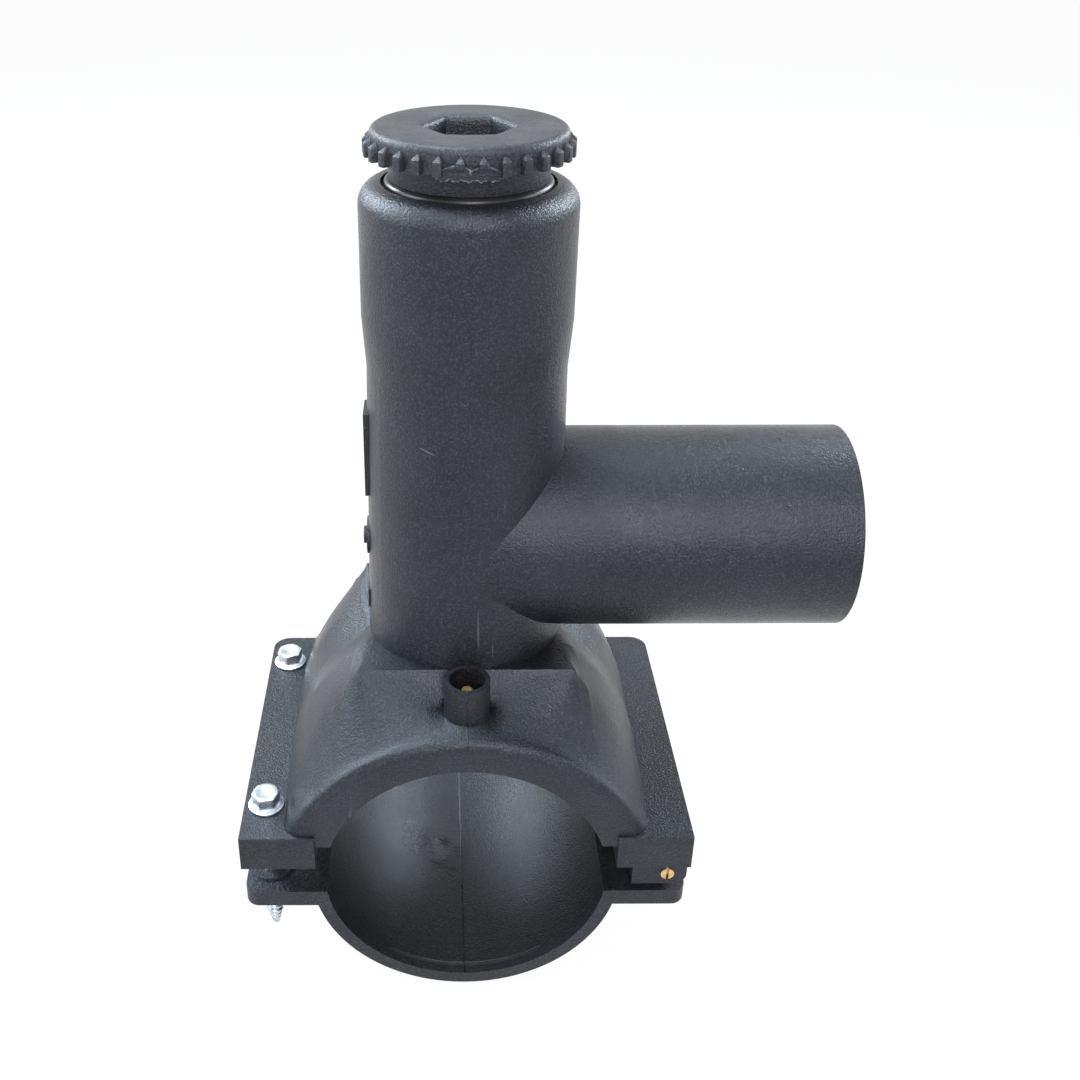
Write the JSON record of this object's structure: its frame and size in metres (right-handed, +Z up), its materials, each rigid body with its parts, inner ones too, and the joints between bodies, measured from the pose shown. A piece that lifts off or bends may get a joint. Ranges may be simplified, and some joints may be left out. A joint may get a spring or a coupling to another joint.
{
  "type": "electrofusion tapping saddle",
  "caption": "Plastic tapping saddle that is clamped and welded round a main, with a capped cutter tower, a plain side outlet, a hinged lower clamp and two clamp screws.",
  "frame": {"origin": "on the main's axis, half way along the saddle", "axes": "+X along the outlet away from the tower, +Y along the main, +Z up the tower"},
  "size_m": [0.1879, 0.107, 0.2755],
  "materials": {
    "pe_black": "fine grain",
    "pe_cap": "fine grain",
    "seal": "greased",
    "brass": "drawn",
    "zinc": "bright zinc",
    "steel": "turned",
    "coil": "drawn wire"
  },
  "bodies": {
    "saddle": {"saddle_body": "pe_black", "guide_sleeve": "steel", "hinge_pin": "brass", "terminal_pin_front": "brass", "terminal_pin_rear": "brass", "heating_coil": "coil"},
    "clamp": {"lower_clamp": "pe_black"},
    "screw_front": {"clamp_screw_front": "zinc"},
    "screw_rear": {"clamp_screw_rear": "zinc"},
    "cap_seal": {"cap_o_ring": "seal"},
    "cap": {"cap": "pe_cap"},
    "cutter_seal": {"cutter_o_ring": "seal"},
    "cutter": {"cutter": "steel"}
  },
  "joints": [
    {"name": "clamp_swing", "type": "hinge", "parent": "saddle", "child": "clamp", "pos_m": [0.0648, 0, 0], "axis": [0, -1, 0], "range_deg": [0, 90]},
    {"name": "screw_front_lift", "type": "slide", "parent": "saddle", "child": "screw_front", "axis": [0, 0, 1], "range_m": [0, 0.05]},
    {"name": "screw_rear_lift", "type": "slide", "parent": "saddle", "child": "screw_rear", "axis": [0, 0, 1], "range_m": [0, 0.05]},
    {"name": "cap_lift", "type": "slide", "parent": "saddle", "child": "cap_seal", "axis": [0, 0, 1], "range_m": [0, 0.0201]},
    {"name": "cap_turn", "type": "hinge", "parent": "cap_seal", "child": "cap", "pos_m": [0, 0, 0.2], "axis": [0, 0, 1], "range_deg": [0, 1800]},
    {"name": "cutter_feed", "type": "slide", "parent": "saddle", "child": "cutter_seal", "axis": [0, 0, -1], "range_m": [0, 0.0881]},
    {"name": "cutter_turn", "type": "hinge", "parent": "cutter_seal", "child": "cutter", "pos_m": [0, 0, 0.15], "axis": [0, 0, -1], "range_deg": [0, 7920]}
  ],
  "couplings": [
    {"joint": "screw_front_lift", "follows": "clamp_swing", "m_per_rad": 0.0318},
    {"joint": "screw_rear_lift", "follows": "clamp_swing", "m_per_rad": 0.0318},
    {"joint": "cap_lift", "follows": "cap_turn", "m_per_rad": 0.00063662},
    {"joint": "cutter_feed", "follows": "cutter_turn", "m_per_rad": 0.00063662}
  ]
}
